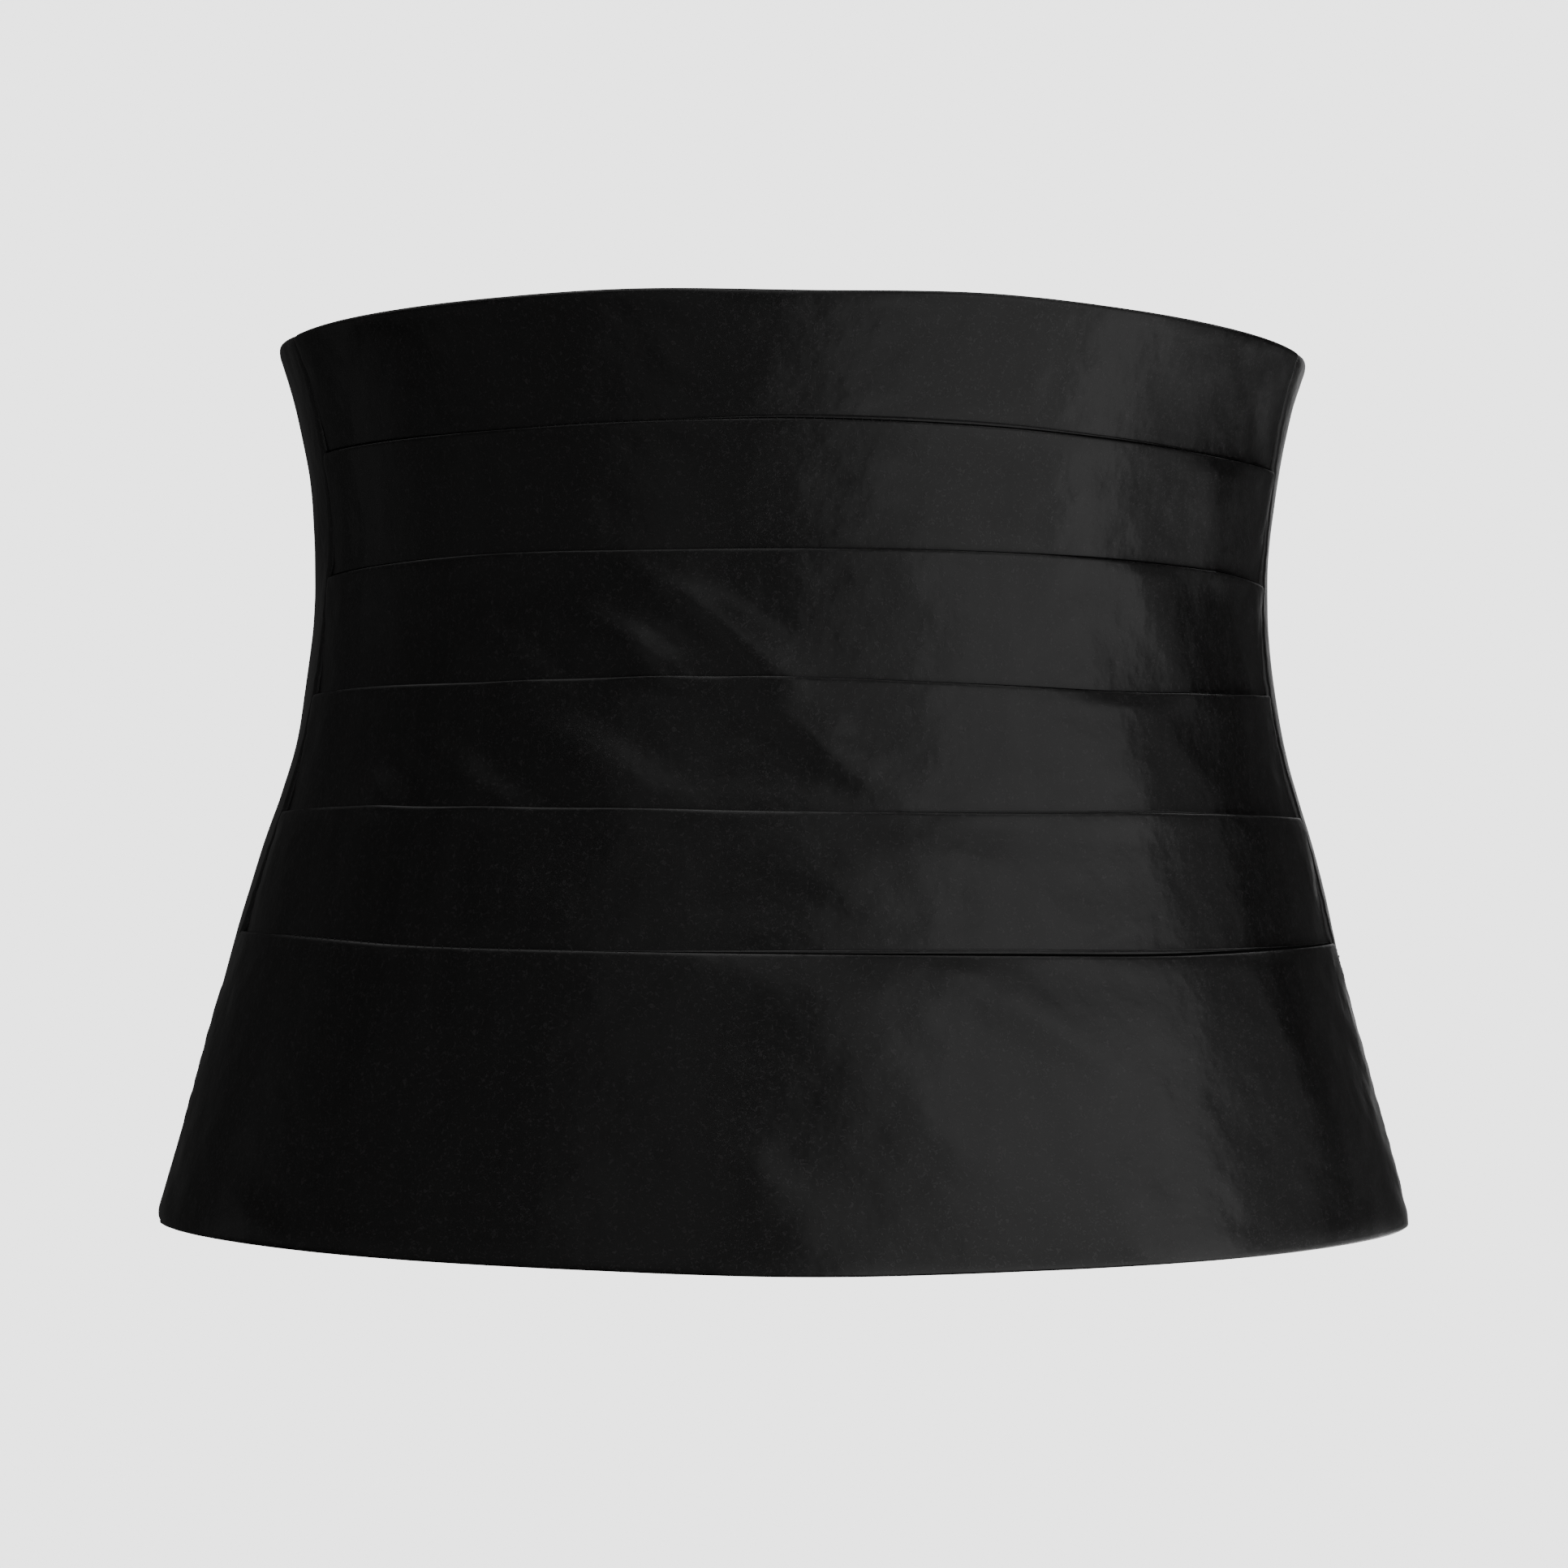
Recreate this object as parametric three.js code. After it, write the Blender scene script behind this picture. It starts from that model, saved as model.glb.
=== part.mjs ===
// A wide pleated cummerbund of black satin, closed round the waist. Six shingled tiers cross the front,
// each overlapping the one above it, two plain panels go round the back, and a strip behind their gap
// fastens them. Millimetres, +Z up, the front faces -Y, and the origin is the centre of the waist.
import * as THREE from "three";

// Overall form, measured on the outside of the cloth
const WAIST_WIDTH = 244;
const WAIST_DEPTH = 172;
const HEIGHT = 229; // from rim to rim at centre front
const WAIST_BELOW_TOP = 65; // from the top rim down to the narrowest level

// Cloth
const TIER_CLOTH = 1.2; // satin folded double over its interlining
const TIER_GAP = 0.35; // between a tier and the one that it overlaps
const UNDERLAP = 12; // how far a tier runs on beneath the next one
const PANEL_CLOTH = 1.6;
const PANEL_INSET = 0.4; // how far the back panels lie inside the tiers' top folds
const SEAM_GAP = 0.3; // between the end of a tier and the back panel that it is sewn to

// Fastening at centre back
const BACK_OPENING = 3; // between the two panels
const STRIP_WIDTH = 28;
const STRIP_CLOTH = 1.4;
const STRIP_GAP = 0.3; // between the strip and the panels
const STRIP_MARGIN = 4; // how far the strip stops short of each rim

// Fold lines and dents
const EDGE_DIP = 5; // how far a fold line can sink on its way from centre front to a side seam
const DRAG_DEPTH = 0.9; // how far a drag fold stands out of its tier
const DRAG_WIDTH = 7; // half the width of a drag fold
const DRAG_LENGTH = 42;

// Fineness of the faceted cloth
const LAYERS = 2; // steps through the thickness, which round off the folds
const TIER_COLUMNS = 44; // the same for each tier, so that overlapping facets lie alike
const PANEL_COLUMNS = 16;
const PANEL_ROWS = 13;
const STRIP_COLUMNS = 4;

// The body under the cloth, from the bottom rim to the top rim. rise is a share of the height, width and
// the two depths are shares of the waist's half width and half depth, and seam is how many degrees
// before the side the front's seam lies.
const SECTIONS = [
  { rise: 0.0, width: 1.33, front: 1.27, back: 1.33, seam: 7.5 },
  { rise: 0.25, width: 1.2, front: 1.19, back: 1.23, seam: 10 },
  { rise: 0.42, width: 1.108, front: 1.11, back: 1.12, seam: 11.7 },
  { rise: 0.5, width: 1.06, front: 1.07, back: 1.07, seam: 12.7 },
  { rise: 0.58, width: 1.026, front: 1.035, back: 1.03, seam: 13.6 },
  { rise: 0.66, width: 1.005, front: 1.01, back: 1.005, seam: 14.5 },
  { rise: 0.74, width: 1.0, front: 1.0, back: 1.0, seam: 15.3 },
  { rise: 0.82, width: 1.014, front: 1.015, back: 1.02, seam: 16 },
  { rise: 0.9, width: 1.041, front: 1.045, back: 1.055, seam: 16.5 },
  { rise: 0.96, width: 1.075, front: 1.07, back: 1.09, seam: 16.8 },
  { rise: 1.0, width: 1.107, front: 1.09, back: 1.115, seam: 17 },
];

// The seven long edges from the top rim down. rise is where the edge crosses centre front, and the four
// dips are how far it has sunk at the left seam, left quarter, right quarter and right seam, as shares
// of the largest dip. rows is the fineness of the tier that hangs from the edge.
const EDGES = [
  { edge: "top rim", rise: 1.0, left: 1.05, leftQuarter: 0.3, rightQuarter: 0.3, right: 1.25, rows: 5 },
  { edge: "fold 1", rise: 0.872, left: 1.1, leftQuarter: 0.45, rightQuarter: 0.7, right: 1.0, rows: 5 },
  { edge: "fold 2", rise: 0.74, left: 1.2, leftQuarter: 0.35, rightQuarter: 0.25, right: 0.7, rows: 6 },
  { edge: "fold 3", rise: 0.607, left: 1.0, leftQuarter: 0.45, rightQuarter: 0.7, right: 0.8, rows: 6 },
  { edge: "fold 4", rise: 0.468, left: 0.3, leftQuarter: 0.0, rightQuarter: 0.0, right: 0.35, rows: 5 },
  { edge: "fold 5", rise: 0.322, left: -0.15, leftQuarter: -0.2, rightQuarter: 0.1, right: 0.0, rows: 8 },
  { edge: "bottom rim", rise: 0.0, left: -0.3, leftQuarter: -0.2, rightQuarter: -0.2, right: -0.2 },
];

// Drag folds, which slant down to the right across a tier. angle is in degrees round from centre front,
// drop is how far down the tier the middle lies, and slope is its fall in degrees.
const DRAGS = [
  { tier: 3, angle: -33, drop: 0.62, length: 0.8, depth: 0.8, slope: 38 },
  { tier: 3, angle: -19, drop: 0.5, length: 1.0, depth: 1.0, slope: 36 },
  { tier: 3, angle: -6, drop: 0.45, length: 1.0, depth: 0.9, slope: 36 },
  { tier: 4, angle: -37, drop: 0.55, length: 0.8, depth: 0.8, slope: 38 },
  { tier: 4, angle: -21, drop: 0.45, length: 1.0, depth: 0.9, slope: 38 },
  { tier: 4, angle: 4, drop: 0.5, length: 0.9, depth: 0.8, slope: 42 },
  { tier: 5, angle: 6, drop: 0.5, length: 0.9, depth: 0.5, slope: 30 },
  { tier: 6, angle: 17, drop: 0.3, length: 1.3, depth: 0.9, slope: 36 },
  { tier: 6, angle: -1, drop: 0.55, length: 1.4, depth: 0.7, slope: 55 },
];

const TOP_RIM = EDGES[0];
const BOTTOM_RIM = EDGES[EDGES.length - 1];
const DEGREE = Math.PI / 180;
const TOP = WAIST_BELOW_TOP;
const BOTTOM = TOP - HEIGHT;
const TIER_STEP = TIER_CLOTH + TIER_GAP; // how far in each tier leans by its lower fold line
const PROBE = 0.01; // step for the slopes of the body's surface, in radians and in mm

const satin = new THREE.MeshStandardMaterial({ color: 0x141312, roughness: 0.42, metalness: 0 });
const plainSatin = new THREE.MeshStandardMaterial({ color: 0x121212, roughness: 0.5, metalness: 0 });
const tape = new THREE.MeshStandardMaterial({ color: 0x101010, roughness: 0.85, metalness: 0 });

// A smooth curve through one column of a table whose rows are sorted by key.
function readTable(rows, key, column, at) {
  const last = rows.length - 1;
  let i = 0;
  while (i < last - 1 && at > rows[i + 1][key]) i++;
  const slope = (j) => {
    const low = rows[Math.max(j - 1, 0)];
    const high = rows[Math.min(j + 1, last)];
    return (high[column] - low[column]) / (high[key] - low[key]);
  };
  const span = rows[i + 1][key] - rows[i][key];
  const s = (at - rows[i][key]) / span;
  const a = rows[i][column];
  const b = rows[i + 1][column];
  const rise = b - a;
  const start = slope(i) * span;
  const end = slope(i + 1) * span;
  return a + s * (start + s * (3 * rise - 2 * start - end + s * (start + end - 2 * rise)));
}

function sectionAt(z, column) {
  return readTable(SECTIONS, "rise", column, (z - BOTTOM) / HEIGHT);
}

// A point of the body's surface: turn is in radians from centre front, and grows towards +X.
function bodyPoint(turn, z) {
  const halfWidth = (WAIST_WIDTH / 2) * sectionAt(z, "width");
  const halfDepth = (WAIST_DEPTH / 2) * sectionAt(z, Math.cos(turn) > 0 ? "front" : "back");
  return new THREE.Vector3(halfWidth * Math.sin(turn), -halfDepth * Math.cos(turn), z);
}

// A point of the cloth, which stands out from the body's surface by the given distance.
function clothPoint(turn, z, out) {
  const point = bodyPoint(turn, z);
  const along = bodyPoint(turn + PROBE, z).sub(bodyPoint(turn - PROBE, z));
  const up = bodyPoint(turn, z + PROBE).sub(bodyPoint(turn, z - PROBE));
  return point.addScaledVector(along.cross(up).normalize(), out);
}

// How far round the front's seam lies at a height, and the turn that moves a point by a distance there.
const seamTurn = (z) => (90 - sectionAt(z, "seam")) * DEGREE;
const turnFor = (distance, turn, z) =>
  (distance * 2 * PROBE) / bodyPoint(turn + PROBE, z).distanceTo(bodyPoint(turn - PROBE, z));

// The height of a long edge: side is -1 at the left seam, 0 at centre front and 1 at the right seam.
function edgeHeight(row, side) {
  const stations = [
    { side: -1, dip: row.left },
    { side: -0.5, dip: row.leftQuarter },
    { side: 0, dip: 0 },
    { side: 0.5, dip: row.rightQuarter },
    { side: 1, dip: row.right },
  ];
  return BOTTOM + HEIGHT * row.rise - EDGE_DIP * readTable(stations, "side", "dip", side);
}

// How far a tier has leaned in at a distance below its top fold. Below the next fold line it runs on
// beside the tier that covers it, so that the gap between the two stays the same.
function lean(tier, side, below) {
  if (tier === EDGES.length - 1) return 0;
  const exposed = edgeHeight(EDGES[tier - 1], side) - edgeHeight(EDGES[tier], side);
  if (below <= exposed) return (-TIER_STEP * below) / exposed;
  return -TIER_STEP + lean(tier + 1, side, below - exposed);
}

// The swell of a tier's drag folds. It dies out towards both fold lines, where the tiers overlap.
function dragSwell(tier, turn, below, exposed) {
  if (below <= 0 || below >= exposed) return 0;
  const fade = Math.sin((Math.PI * below) / exposed);
  let swell = 0;
  for (const drag of DRAGS.filter((row) => row.tier === tier)) {
    const across = (turn - drag.angle * DEGREE) * (WAIST_WIDTH / 2);
    const down = below - drag.drop * exposed;
    const cos = Math.cos(drag.slope * DEGREE);
    const sin = Math.sin(drag.slope * DEGREE);
    const along = (across * cos + down * sin) / ((DRAG_LENGTH * drag.length) / 2);
    const beside = (down * cos - across * sin) / DRAG_WIDTH;
    swell += DRAG_DEPTH * drag.depth * Math.exp(-(beside ** 2) - along ** 4);
  }
  return swell * fade;
}

// A sheet bent from a flat box. place takes shares across and down the sheet and through its thickness,
// from the outer face in, and gives the point where that part of the sheet lies.
function bentSheet(name, material, columns, rows, place) {
  const geometry = new THREE.BoxGeometry(1, 1, 1, columns, rows, LAYERS);
  const position = geometry.attributes.position;
  for (let i = 0; i < position.count; i++) {
    const point = place(0.5 + position.getX(i), 0.5 - position.getY(i), 0.5 - position.getZ(i));
    position.setXYZ(i, point.x, point.y, point.z);
  }
  geometry.computeVertexNormals();
  const mesh = new THREE.Mesh(geometry, material);
  mesh.name = name;
  return mesh;
}

// How far the two faces of a rounded edge fall short of its middle.
const roundOff = (cloth, through) => (cloth / 2) * (1 - Math.sqrt(1 - (2 * through - 1) ** 2));

// One pleat tier of the front. Its rows run from its top fold, past the next fold line where there is
// one, to the end of its underlap.
function pleatTier(tier) {
  const top = EDGES[tier - 1];
  const next = EDGES[tier];
  const hidden = tier < EDGES.length - 1 ? UNDERLAP : 0;
  const place = (across, down, through) => {
    const side = 2 * across - 1;
    const start = edgeHeight(top, side);
    const exposed = start - edgeHeight(next, side);
    const shown = hidden ? (top.rows - 1) / top.rows : 1;
    let below = down <= shown ? (exposed * down) / shown : exposed + (hidden * (down - shown)) / (1 - shown);
    if (down === 0) below += roundOff(TIER_CLOTH, through);
    if (down === 1) below -= roundOff(TIER_CLOTH, through);
    const z = start - below;
    const seam = seamTurn(z);
    const turn = side * (seam - turnFor(SEAM_GAP / 2, seam, z));
    const out = lean(tier, side, below) + dragSwell(tier, turn, below, exposed);
    return clothPoint(turn, z, out - TIER_CLOTH * through);
  };
  return bentSheet(`pleat_tier_${tier}`, satin, TIER_COLUMNS, top.rows, place);
}

// Half of the plain back, from the front's seam round to the opening. hand is -1 for the left panel.
function backPanel(name, hand) {
  const high = edgeHeight(TOP_RIM, hand);
  const low = edgeHeight(BOTTOM_RIM, hand);
  const place = (across, down, through) => {
    let z = high + (low - high) * down;
    if (down === 0) z -= roundOff(PANEL_CLOTH, through);
    if (down === 1) z += roundOff(PANEL_CLOTH, through);
    const seam = seamTurn(z);
    const start = seam + turnFor(SEAM_GAP / 2, seam, z);
    const end = Math.PI - turnFor(BACK_OPENING / 2, Math.PI, z);
    const share = hand < 0 ? 1 - across : across;
    return clothPoint(hand * (start + (end - start) * share), z, -PANEL_INSET - PANEL_CLOTH * through);
  };
  return bentSheet(name, plainSatin, PANEL_COLUMNS, PANEL_ROWS, place);
}

// The fastening strip, which lies inside the panels and bridges the opening at centre back.
function fasteningStrip() {
  const high = Math.min(edgeHeight(TOP_RIM, -1), edgeHeight(TOP_RIM, 1)) - STRIP_MARGIN;
  const low = Math.max(edgeHeight(BOTTOM_RIM, -1), edgeHeight(BOTTOM_RIM, 1)) + STRIP_MARGIN;
  const place = (across, down, through) => {
    const z = high + (low - high) * down;
    const turn = Math.PI + turnFor(STRIP_WIDTH, Math.PI, z) * (across - 0.5);
    return clothPoint(turn, z, -PANEL_INSET - PANEL_CLOTH - STRIP_GAP - STRIP_CLOTH * through);
  };
  return bentSheet("back_fastening", tape, STRIP_COLUMNS, PANEL_ROWS, place);
}

const cummerbund = new THREE.Group();
const front = new THREE.Group();
for (let tier = 1; tier < EDGES.length; tier++) front.add(pleatTier(tier));
const back = new THREE.Group();
back.add(backPanel("back_panel_left", -1), backPanel("back_panel_right", 1), fasteningStrip());
cummerbund.add(front, back);

export default cummerbund;
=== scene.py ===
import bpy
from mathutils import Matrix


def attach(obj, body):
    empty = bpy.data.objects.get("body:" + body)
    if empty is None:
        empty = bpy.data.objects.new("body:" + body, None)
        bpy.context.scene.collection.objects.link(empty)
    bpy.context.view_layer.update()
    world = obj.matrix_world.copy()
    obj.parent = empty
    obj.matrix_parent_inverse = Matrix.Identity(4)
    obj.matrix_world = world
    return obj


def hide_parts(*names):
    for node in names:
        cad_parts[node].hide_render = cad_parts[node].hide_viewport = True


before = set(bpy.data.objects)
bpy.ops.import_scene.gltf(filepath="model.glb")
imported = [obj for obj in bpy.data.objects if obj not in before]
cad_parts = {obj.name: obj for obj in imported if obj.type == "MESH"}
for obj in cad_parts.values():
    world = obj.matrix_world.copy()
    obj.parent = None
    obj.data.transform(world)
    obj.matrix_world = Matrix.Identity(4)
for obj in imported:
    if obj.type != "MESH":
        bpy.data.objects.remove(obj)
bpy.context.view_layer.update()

import bpy
import numpy as np
from mathutils import Matrix

# The camera. It stands level, a metre in front and slightly left of centre, and looks through a long
# lens. The picture is 1932 pixels square, and it leans half a degree.
PICTURE_PIXELS = 1932
FOCAL_PIXELS = 4762  # the lens, in pixels of the picture
AXIS_SHIFT_PIXELS = 6  # how far right of the middle the object's axis stands
SENSOR_MM = 36.0
CAMERA_AWAY = 1.0
CAMERA_HEIGHT = -0.0507
CAMERA_ROUND = np.radians(-2.5)
CAMERA_LEAN = np.radians(0.5)

camera_data = bpy.data.cameras.new("camera")
camera_data.sensor_width = SENSOR_MM
camera_data.lens = SENSOR_MM * FOCAL_PIXELS / PICTURE_PIXELS
camera_data.shift_x = -AXIS_SHIFT_PIXELS / PICTURE_PIXELS
camera = bpy.data.objects.new("camera", camera_data)
bpy.context.collection.objects.link(camera)
camera.matrix_world = (
    Matrix.Rotation(CAMERA_ROUND, 4, "Z")
    @ Matrix.Translation((0, -CAMERA_AWAY, CAMERA_HEIGHT))
    @ Matrix.Rotation(np.pi / 2, 4, "X")
    @ Matrix.Rotation(CAMERA_LEAN, 4, "Z")
)
bpy.context.scene.camera = camera

# Pleat tiers. Six strips of black satin, each folded double over a thin interlining, lie one over the
# other so that the pleats open upwards. In the groove behind each fold, a matt black strip is painted
# shade of the gap. The ends of all six are sewn into the side seams, and the lowest and tallest one
# ends in a soft turned-up hem.
MM = 0.001  # the lengths are in mm, and the meshes in metres
WAIST_HALF_WIDTH = 122.0
WAIST_HALF_DEPTH = 86.0
TOP = 65.0
HEIGHT = 229.0
TIER_CLOTH = 1.2
TIER_GAP = 0.35
TIER_STEP = TIER_CLOTH + TIER_GAP  # how far in a tier leans by the fold line below it
UNDERLAP = 12.0
HALF_FRONT = 152.0  # from centre front to a side seam, along the waist

# The body under the cloth, as shares of the height, and of the waist's half width and half depth
RISES = (0, 0.25, 0.42, 0.5, 0.58, 0.66, 0.74, 0.82, 0.9, 0.96, 1)
WIDTHS = (1.33, 1.2, 1.108, 1.06, 1.026, 1.005, 1, 1.014, 1.041, 1.075, 1.107)
FRONTS = (1.27, 1.19, 1.11, 1.07, 1.035, 1.01, 1, 1.015, 1.045, 1.07, 1.09)
BACKS = (1.33, 1.23, 1.12, 1.07, 1.03, 1.005, 1, 1.02, 1.055, 1.09, 1.115)

# The side seams, in degrees before the side
SEAM_RISES = (0, 0.1, 0.24, 0.33, 0.46, 0.59, 0.7, 0.76, 0.86, 1)
LEFT_SEAM = (10, 8, 6.5, 9.5, 12.5, 13.4, 14.3, 16.6, 17.3, 17.2)
RIGHT_SEAM = (10.5, 9.5, 8.5, 12, 13, 15, 14.2, 12.6, 14.4, 19)

# The seven long edges, from the top rim to the hem: the height at centre front, and how far the edge
# has sunk at nine stations from the left seam to the right one
STATIONS = np.linspace(-1, 1, 9)
EDGE_HEIGHTS = (65, 35.5, 5.1, -25.4, -57, -90.3, -164.4)
TIERS = len(EDGE_HEIGHTS) - 1
EDGE_DROPS = (
    (5.2, 3.1, 1.2, -0.3, 0, -0.4, 1.4, 3.6, 5.7),
    (4.6, 3.4, 2.1, 0.7, 0, 0.8, 2.6, 4.6, 5.7),
    (4.9, 2.7, 1, 0.5, 0, 0, 0.8, 2.3, 4.6),
    (3.8, 2.2, 1.5, 0.3, 0, 1.1, 2.2, 2.2, 2),
    (1.6, 0, -0.2, -0.2, 0, 0.1, 0, 0.5, 1.5),
    (-1.4, -1.5, -0.3, -0.1, 0, 0.3, 0.8, 0.1, -0.3),
    (-1.9, -1.8, -1.3, -0.8, 0, -0.8, -1.5, -2.2, -2.4),
)

# Above a tier's fold, the height of the matt black strip of painted shade that shows in the gap, and
# that of the facing's satin above it, at the same nine stations
PAINTED_SHADE_SHOWS = (
    (0.05, 0.05, 0.05, 0.05, 0.05, 0.05, 0.05, 0.05, 0.05),
    (0.5, 0.4, 0.1, 0.05, 0.15, 0.25, 0.25, 0.3, 0.3),
    (0.5, 0.25, 0.05, 0.05, 0.05, 0.1, 0.25, 0.3, 0.3),
    (0.2, 0.1, 0.05, 0.05, 0.05, 0.15, 0.2, 0.25, 0.2),
    (0.1, 0.05, 0.05, 0.05, 0.05, 0.15, 0.2, 0.1, 0.1),
    (0.1, 0.05, 0.05, 0.1, 0.3, 0.6, 0.75, 0.7, 0.4),
)
FACING_SHOWS = (
    (0, 0, 0, 0, 0, 0, 0, 0, 0),
    (0, 0, 0, 0, 0.45, 0.5, 0.25, 0, 0),
    (0, 0, 0, 0, 0, 0, 0, 0, 0),
    (0, 0, 0, 0, 0, 0, 0, 0, 0),
    (0, 0, 0, 0, 0.1, 0.3, 0.3, 0, 0),
    (0, 0, 0, 0.1, 0.6, 0.9, 0.8, 0.1, 0),
)

# Drag folds of each tier: turn from centre front in degrees, share of the way down, length, width
# and height in mm, fall to the right in degrees, how far the middle arches up in mm, and the side of
# the crest that the place marks: 1 for the upper right flank, which catches the light, -1 for the
# lower left one. A negative height makes a hollow.
DRAG_FOLDS = (
    (
        (65, 0.85, 24, 4.5, -0.9, 66, 0, -1),
        (51.6, 0.19, 14, 5, 0.3, 20, 0, 1),
        (-5, 0.3, 60, 12, 0.4, 5, 0, 1),
    ),
    (
        (52.5, 0.52, 36, 11, 1.6, 70, 0, -1),
        (82, 0.85, 10, 3, 0.4, 60, 0, 1),
        (14, 0.17, 70, 6, 0.6, 8, 0, 1),
        (27, 0.42, 40, 7, 0.5, 14, 0, -1),
    ),
    (
        (-33.5, 0.72, 36, 5, 1.3, 35, 0, 1),
        (-18, 0.66, 40, 5.4, 2.2, 32, 2.4, 1),
        (-8.4, 0.5, 50, 5.2, 2.1, 34, 2.4, 1),
        (20, 0.35, 36, 8, 0.5, 30, 0, 1),
        (69.5, 0.31, 12, 4, 0.5, 30, 0, -1),
        (66.6, 0.75, 14, 3.5, 0.5, 45, 0, 1),
        (43, 0.5, 60, 9, 0.9, 60, 0, -1),
    ),
    (
        (-51, 0.78, 24, 5, 1, 33, 0, 1),
        (-35.5, 0.76, 46, 5.6, 1.35, 28, -2.4, 1),
        (-20.5, 0.56, 50, 7.5, 1.8, 28, -1, 1),
        (0.5, 0.56, 40, 4.5, 1.4, 37, 0, -1),
        (34, 0.5, 60, 14, 1.5, 85, 0, -1),
        (52, 0.7, 30, 6, 0.5, 40, 0, 1),
    ),
    (
        (2.5, 0.62, 26, 4, 0.45, 28, 0, -1),
        (12, 0.2, 60, 7, 0.8, 6, 0, 1),
        (24, 0.5, 34, 6, 0.5, 35, 0, 1),
        (-30, 0.5, 50, 9, 0.5, 15, 0, 1),
    ),
    (
        (8, 0.08, 90, 6.5, 0.6, 5, 0, 1),
        (20, 0.22, 42, 6, 1, 36, 0, -1),
        (14, 0.5, 50, 9, 1, 50, 0, 1),
        (-4.4, 0.61, 40, 8, 1.2, 48, 0, 1),
        (-52.6, 0.9, 26, 5, 0.8, 25, 0, 1),
        (-40, 0.93, 20, 4, 0.6, 26, 0, 1),
        (30, 0.75, 40, 9, 0.6, 65, 0, 1),
        (50.5, 0.5, 62, 16, 1.8, 84, 0, -1),
    ),
)
DARK_FLANK = 1.3  # how much wider a fold's other flank is than the one that its place marks
FLANK_PLACE = 0.7  # how far from the crest that flank is steepest, as a share of the fold's width
FOLD_FADE = 4.0  # a drag fold starts over this distance below the tier's top edge
FOLD_RUN_ON = 8.0  # and dies out over this distance under the next tier

# What else shapes the cloth, in mm. Waves have a shortest and a longest length and a height, and die
# out where a fold line or centre back holds the cloth.
SHARED_WAVES = (40, 140, 0.25)
LONG_WAVES = (22, 90, 0.16)
SHORT_WAVES = (8, 22, 0.075)
HELD_ABOVE = 4.0  # below a tier's own fold
HELD_BELOW = 5.0  # above the fold of the next tier
HELD_BACK = 40.0  # from centre back
FULLNESS = 1.6  # how much fuller the cloth falls beside the right seam
FULLNESS_TURN = 1.5  # its place, in radians from centre front
FULLNESS_REACH = 0.5
FULLNESS_FOOT = -110.0  # the height where it starts
FULLNESS_RISE = 60.0
SHOULDERS = (0.25, 0.12, 0.12, 0.12, 0.15, 0.15)  # how far each tier's top edge leans in
SHOULDER_WIDTH = 2.5
HEM_LEAN = 0.65
HEM_WIDTH = 5.0
PUCKER_FADE = 3.0  # how far from a fold or a rim the seam's puckers start
FACING_TOP = 1.0  # what shows of a facing above this height isn't lifted by a ridge


def smooth_table(keys, values, at):
    """A smooth curve through a table's values, read at many places at once."""
    keys = np.asarray(keys, float)
    values = np.asarray(values, float)
    last = len(keys) - 1
    low = np.maximum(np.arange(last + 1) - 1, 0)
    high = np.minimum(np.arange(last + 1) + 1, last)
    slopes = (values[high] - values[low]) / (keys[high] - keys[low])
    i = np.clip(np.searchsorted(keys, at, side="right") - 1, 0, last - 1)
    span = keys[i + 1] - keys[i]
    s = (at - keys[i]) / span
    rise = values[i + 1] - values[i]
    start = slopes[i] * span
    end = slopes[i + 1] * span
    return values[i] + s * (start + s * (3 * rise - 2 * start - end + s * (start + end - 2 * rise)))


def body_point(turn, z):
    """A point of the body's surface, in mm. turn is in radians from centre front, towards +X."""
    rise = (z - TOP) / HEIGHT + 1
    across = WAIST_HALF_WIDTH * smooth_table(RISES, WIDTHS, rise)
    front = smooth_table(RISES, FRONTS, rise)
    back = smooth_table(RISES, BACKS, rise)
    depth = WAIST_HALF_DEPTH * np.where(np.cos(turn) > 0, front, back)
    return np.stack([across * np.sin(turn), -depth * np.cos(turn), z + 0 * turn], -1)


def outward(turn, z):
    """The direction straight out of the body's surface."""
    probe = 0.01
    along = body_point(turn + probe, z) - body_point(turn - probe, z)
    up = body_point(turn, z + probe) - body_point(turn, z - probe)
    normal = np.cross(along, up)
    return normal / np.linalg.norm(normal, axis=-1, keepdims=True)


def turn_for(distance, turn, z):
    """The turn that moves a point round the body by a distance."""
    probe = 0.01
    step = body_point(turn + probe, z) - body_point(turn - probe, z)
    return distance * 2 * probe / np.linalg.norm(step, axis=-1)


def seam_turn(hand, z):
    """How far round a side seam lies at a height. hand is -1 for the left seam, 1 for the right."""
    rise = (z - TOP) / HEIGHT + 1
    left = smooth_table(SEAM_RISES, LEFT_SEAM, rise)
    right = smooth_table(SEAM_RISES, RIGHT_SEAM, rise)
    return np.radians(90 - np.where(np.asarray(hand) < 0, left, right))


def edge_height(edge, side):
    """The height of a long edge. side is -1 at the left seam, 0 at centre front, 1 at the right."""
    return EDGE_HEIGHTS[edge] - smooth_table(STATIONS, EDGE_DROPS[edge], side)


def lean(tier, side, below):
    """How far a tier has leaned in. Under the next tier it runs on beside that one."""
    if tier == TIERS:
        return 0 * below
    exposed = edge_height(tier - 1, side) - edge_height(tier, side)
    hidden = -TIER_STEP + lean(tier + 1, side, below - exposed)
    return np.where(below <= exposed, -TIER_STEP * below / exposed, hidden)


def ease(share):
    """From 0 to 1 in a smooth step."""
    share = np.clip(share, 0, 1)
    return share * share * (3 - 2 * share)


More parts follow.
